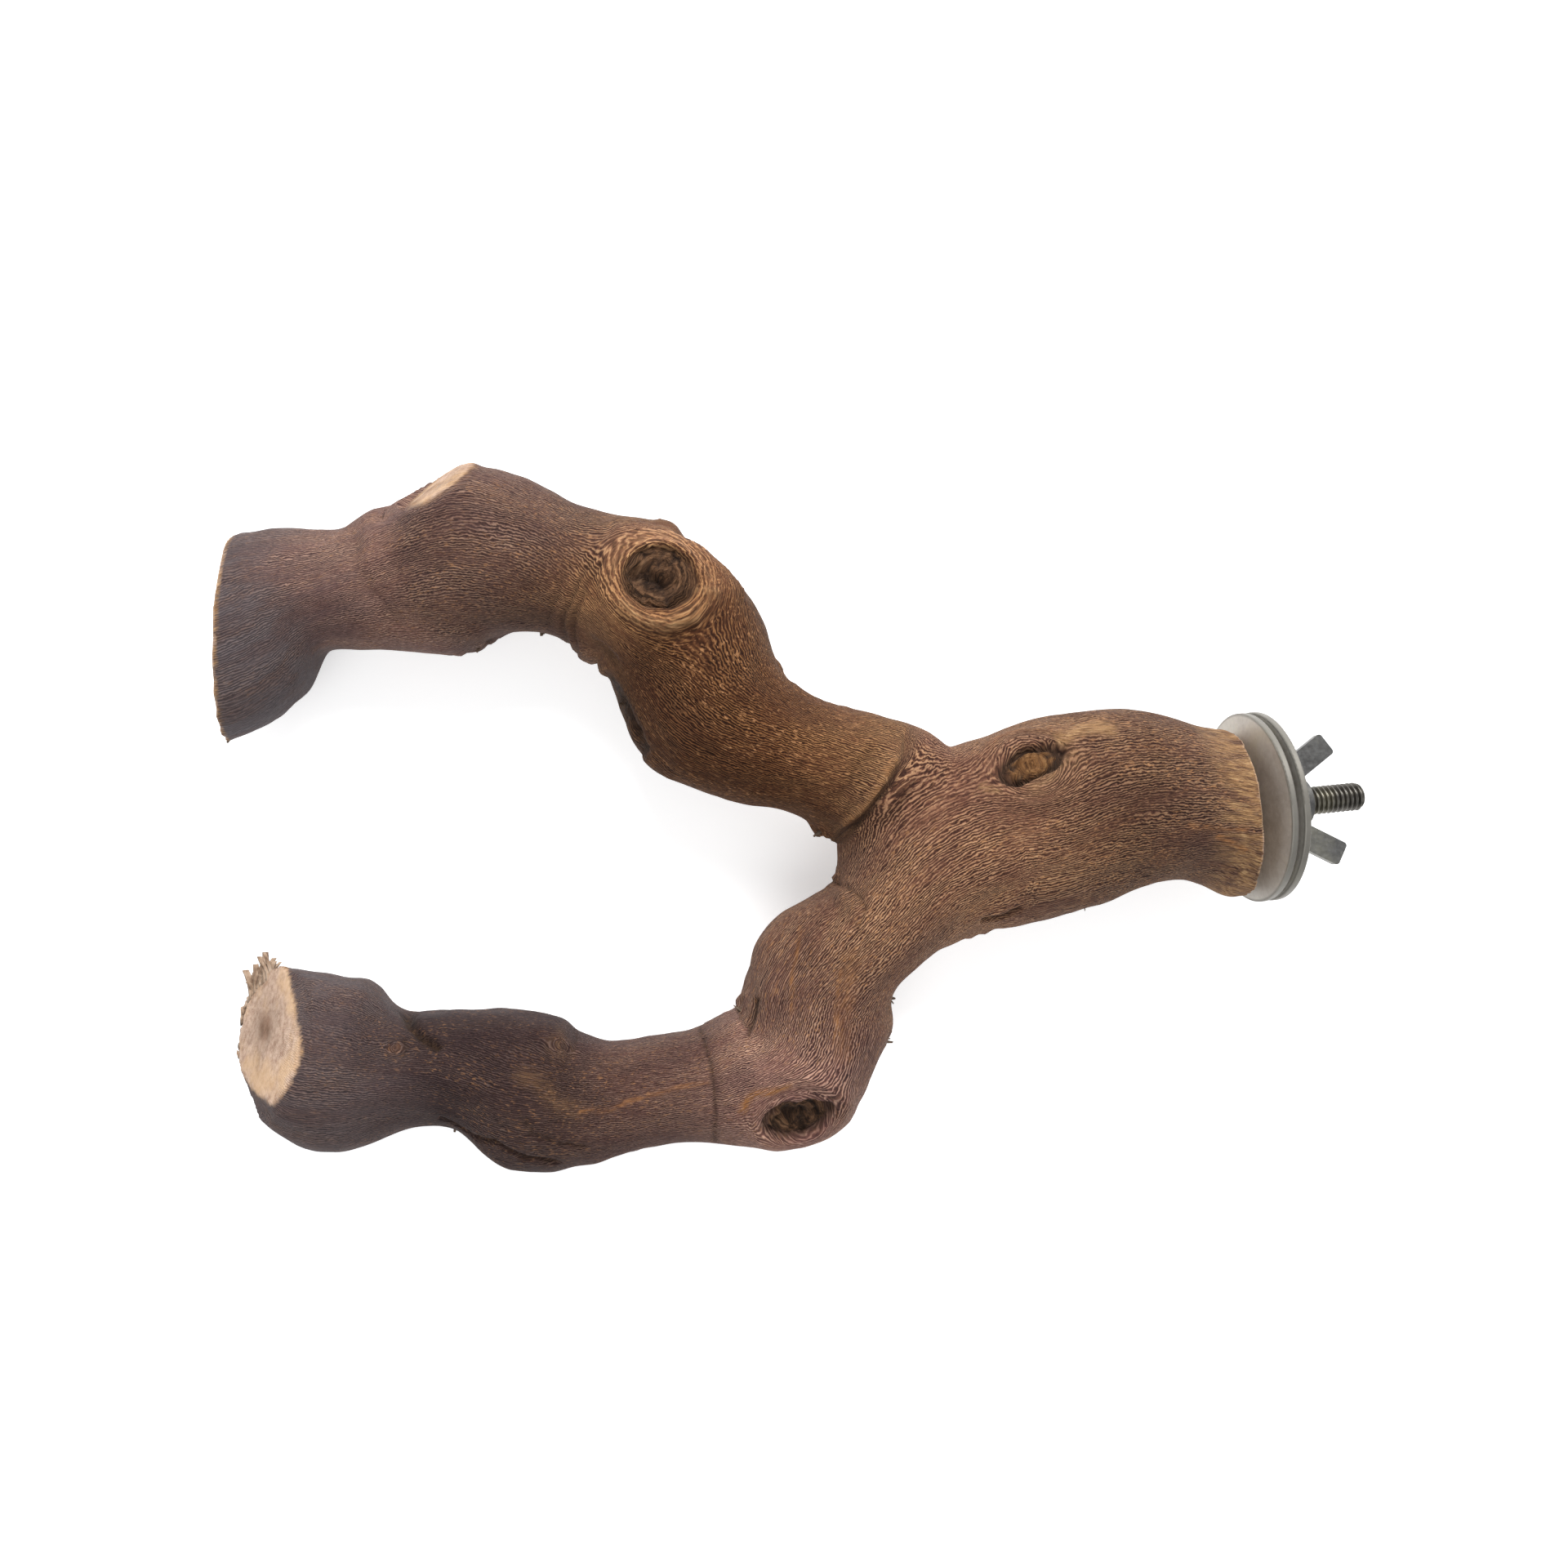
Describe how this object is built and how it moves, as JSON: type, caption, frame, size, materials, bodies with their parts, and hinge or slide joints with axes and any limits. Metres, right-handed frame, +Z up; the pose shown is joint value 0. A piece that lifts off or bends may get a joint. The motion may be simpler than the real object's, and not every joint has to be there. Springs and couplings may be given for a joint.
{
  "type": "bird perch",
  "caption": "Forked natural-branch perch for a bird cage: a knotty sawn fork held to the cage wires by a hanger bolt, wide washers and a wing nut.",
  "frame": {"origin": "on the bolt's axis, at the inner washer's cage side, where the cage wires are clamped", "axes": "+X out along the bolt through the cage wall, +Y in the plane of the fork towards the limb with the large round knot, +Z up"},
  "size_m": [0.1583, 0.0959, 0.0264],
  "materials": {
    "barked_wood": "rough reddish-brown natural wood with fine lengthwise ridges and pale sawn ends",
    "plated_bolt": "dark zinc-plated steel",
    "plated_washer": "satin zinc-plated steel",
    "plated_nut": "satin zinc-plated steel"
  },
  "bodies": {
    "perch": {"branch_fork": "barked_wood", "hanger_bolt": "plated_bolt"},
    "inner_washer": {"inner_washer": "plated_washer"},
    "outer_washer": {"outer_washer": "plated_washer"},
    "wing_nut": {"wing_nut": "plated_nut"}
  },
  "joints": [
    {"name": "inner_washer_spin", "type": "hinge", "parent": "perch", "child": "inner_washer", "pos_m": [-0.00045, 0, 0], "axis": [1, 0, 0], "continuous": true},
    {"name": "outer_washer_slide", "type": "slide", "parent": "perch", "child": "outer_washer", "axis": [1, 0, 0], "range_m": [-0.0007, 0.0077]},
    {"name": "wing_nut_turn", "type": "hinge", "parent": "outer_washer", "child": "wing_nut", "pos_m": [0.0017, 0, 0], "axis": [1, 0, 0], "range_deg": [-361, 3961]}
  ],
  "couplings": [
    {"joint": "wing_nut_turn", "follows": "outer_washer_slide", "rad_per_m": 8976}
  ]
}
